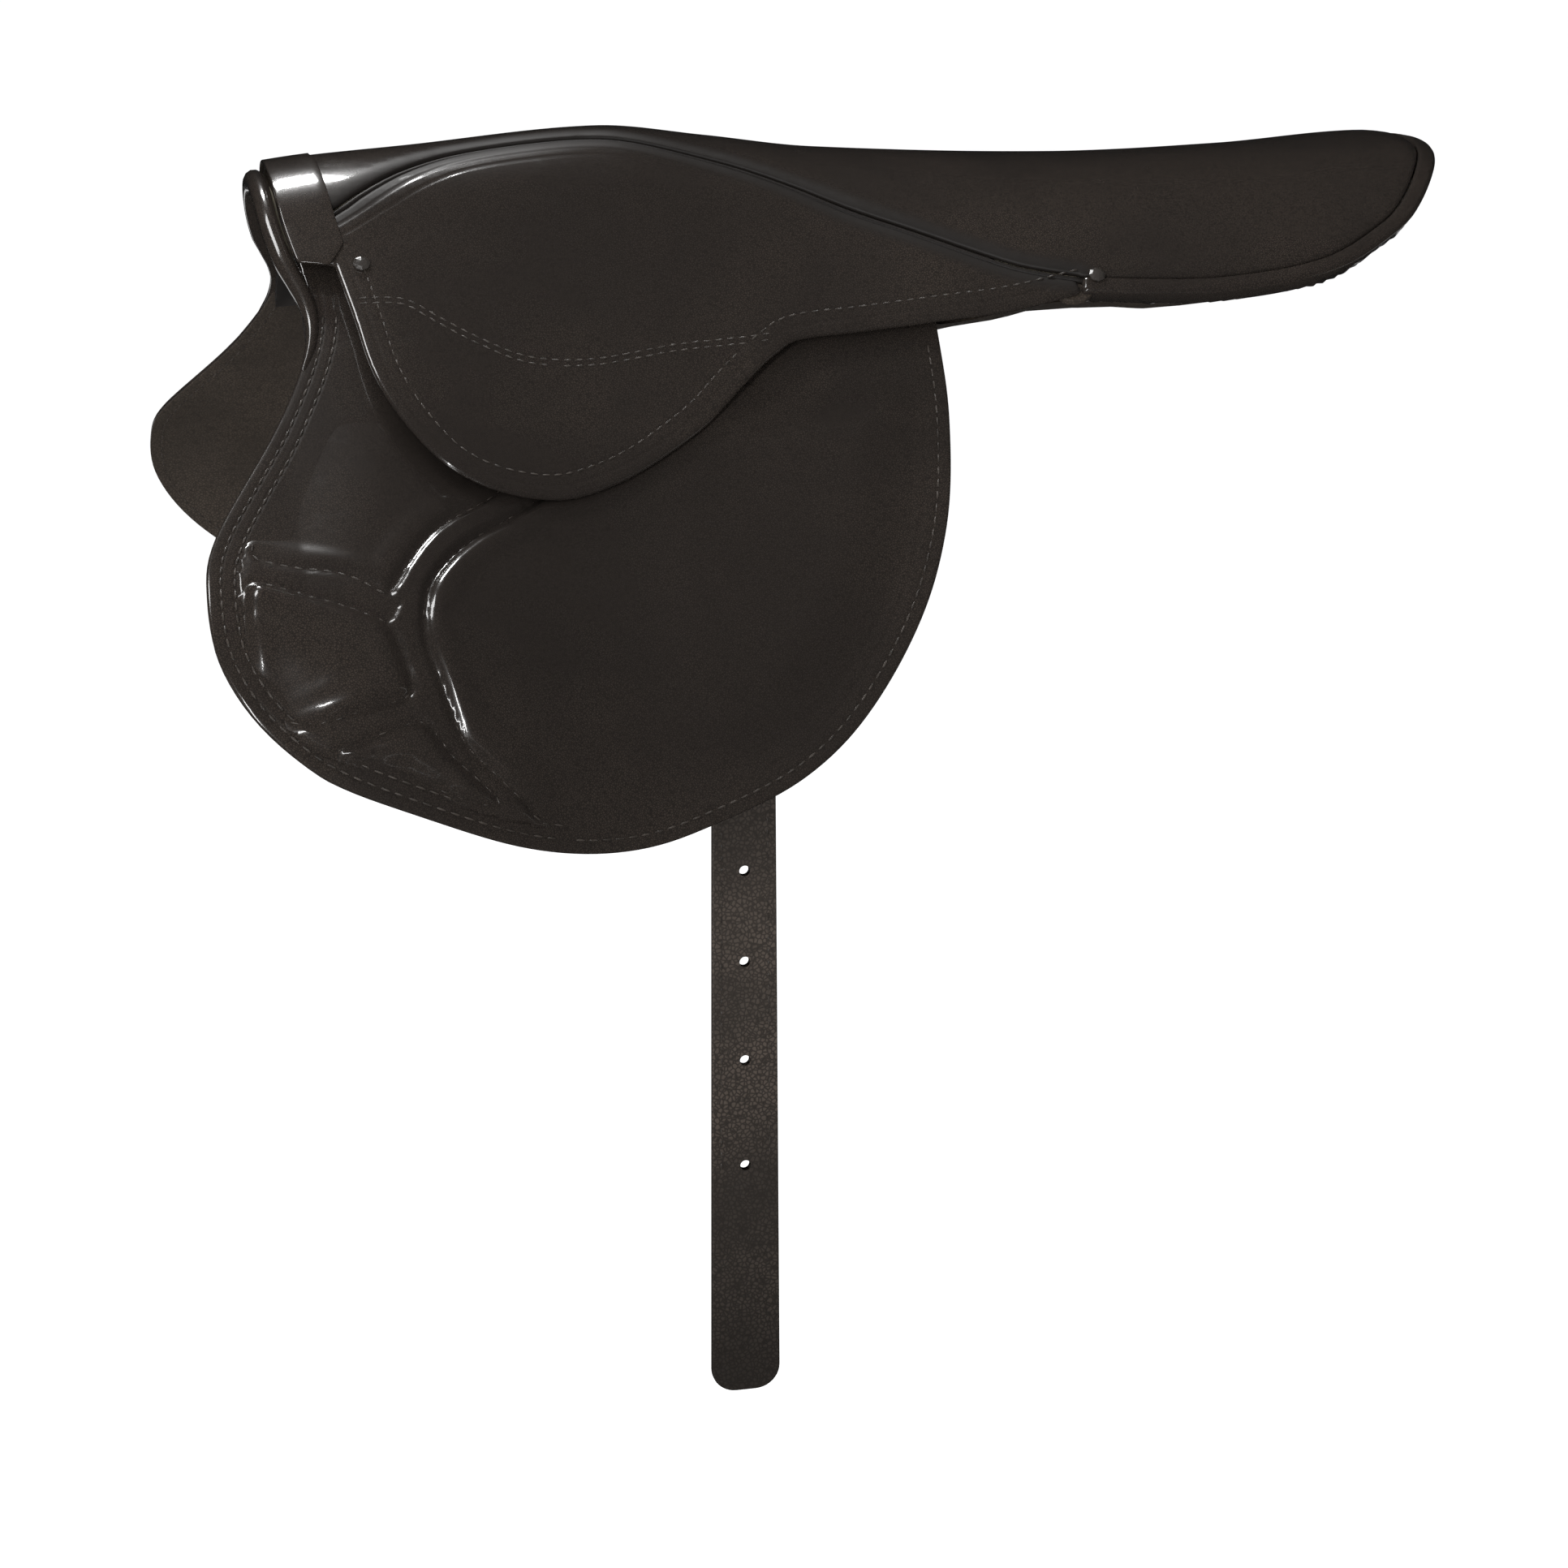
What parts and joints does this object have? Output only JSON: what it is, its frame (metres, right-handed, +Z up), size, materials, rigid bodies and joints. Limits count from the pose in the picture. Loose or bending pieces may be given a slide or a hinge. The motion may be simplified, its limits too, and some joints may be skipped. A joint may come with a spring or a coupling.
{
  "type": "racing saddle",
  "caption": "Light flat-race saddle: laminated tree, padded seat, skirts with lifting lobes, channelled flaps, stuffed panels, stirrup rails and folding girth straps.",
  "frame": {"origin": "on the centre plane in the gullet, between the inner edges of the panels, where the saddle sits over the spine", "axes": "+X to the tail, -Y to the near (left) side, +Z up"},
  "size_m": [0.476, 0.3858, 0.4698],
  "materials": {
    "patent": "gloss",
    "piping": "gloss",
    "strap": "satin",
    "lining": "matte",
    "felt": "matte",
    "foam": "matte",
    "web": "matte",
    "tree": "satin",
    "steel": "satin"
  },
  "bodies": {
    "saddle": {"front_roll": "patent", "gullet_lining": "lining", "near_bar_rivet_front": "steel", "near_bar_rivet_rear": "steel", "near_cantle_rivet": "steel", "near_flap_top": "patent", "near_front_nail": "steel", "near_girth_rivet": "steel", "near_girth_web": "web", "near_head_rivet": "steel", "near_panel": "lining", "near_rear_nail": "steel", "near_skirt": "patent", "near_skirt_felt": "felt", "near_stirrup_bar": "steel", "near_tree_bar": "tree", "near_welt": "piping", "off_bar_rivet_front": "steel", "off_bar_rivet_rear": "steel", "off_cantle_rivet": "steel", "off_flap_top": "patent", "off_front_nail": "steel", "off_girth_rivet": "steel", "off_girth_web": "web", "off_head_rivet": "steel", "off_panel": "lining", "off_rear_nail": "steel", "off_skirt": "patent", "off_skirt_felt": "felt", "off_stirrup_bar": "steel", "off_tree_bar": "tree", "off_welt": "piping", "pommel_band": "patent", "seat_cover": "patent", "seat_foam": "foam", "seat_web": "web", "tail_binding": "patent", "tail_lining": "lining", "tree_cantle": "tree", "tree_head": "tree"},
    "near_flap": {"near_flap": "patent", "near_front_pad": "patent", "near_knee_block": "patent", "near_lower_pad": "patent", "near_rear_pad": "patent"},
    "near_lobe": {"near_skirt_lobe": "patent"},
    "near_strap_upper": {"near_girth_strap_upper": "strap"},
    "near_strap_middle": {"near_girth_strap_middle": "strap"},
    "near_strap_end": {"near_girth_strap_end": "strap"},
    "off_flap": {"off_flap": "patent", "off_front_pad": "patent", "off_knee_block": "patent", "off_lower_pad": "patent", "off_rear_pad": "patent"},
    "off_lobe": {"off_skirt_lobe": "patent"},
    "off_strap_upper": {"off_girth_strap_upper": "strap"},
    "off_strap_middle": {"off_girth_strap_middle": "strap"},
    "off_strap_end": {"off_girth_strap_end": "strap"}
  },
  "joints": [
    {"name": "near_flap_lift", "type": "hinge", "parent": "saddle", "child": "near_flap", "pos_m": [-0.1, -0.0922, -0.0199], "axis": [-0.9933, -0.0906, -0.0712], "range_deg": [0, 55]},
    {"name": "near_lobe_lift", "type": "hinge", "parent": "near_flap", "child": "near_lobe", "pos_m": [-0.1, -0.0922, -0.0199], "axis": [-0.9933, -0.0906, -0.0712], "range_deg": [0, 50]},
    {"name": "near_strap_swing", "type": "hinge", "parent": "saddle", "child": "near_strap_upper", "pos_m": [-0.058, -0.0739, -0.048], "axis": [0, 1, 0], "range_deg": [-10, 10]},
    {"name": "off_flap_lift", "type": "hinge", "parent": "saddle", "child": "off_flap", "pos_m": [-0.1, 0.0922, -0.0199], "axis": [0.9933, -0.0906, 0.0712], "range_deg": [0, 55]},
    {"name": "off_lobe_lift", "type": "hinge", "parent": "off_flap", "child": "off_lobe", "pos_m": [-0.1, 0.0922, -0.0199], "axis": [0.9933, -0.0906, 0.0712], "range_deg": [0, 50]},
    {"name": "off_strap_swing", "type": "hinge", "parent": "saddle", "child": "off_strap_upper", "pos_m": [-0.058, 0.0739, -0.048], "axis": [0, 1, 0], "range_deg": [-10, 10]},
    {"name": "near_strap_bend_1", "type": "hinge", "parent": "near_strap_upper", "child": "near_strap_middle", "pos_m": [-0.058, -0.0739, -0.184], "axis": [-1, 0, 0], "range_deg": [-20, 60]},
    {"name": "near_strap_bend_2", "type": "hinge", "parent": "near_strap_middle", "child": "near_strap_end", "pos_m": [-0.058, -0.0739, -0.3045], "axis": [-1, 0, 0], "range_deg": [-20, 60]},
    {"name": "off_strap_fold_1", "type": "hinge", "parent": "off_strap_upper", "child": "off_strap_middle", "pos_m": [-0.058, 0.0721, -0.184], "axis": [1, 0, 0], "range_deg": [0, 180]},
    {"name": "off_strap_fold_2", "type": "hinge", "parent": "off_strap_middle", "child": "off_strap_end", "pos_m": [-0.058, 0.0685, -0.0635], "axis": [1, 0, 0], "range_deg": [-180, 0]}
  ],
  "couplings": [
    {"joint": "off_strap_fold_2", "follows": "off_strap_fold_1", "ratio": -1}
  ]
}
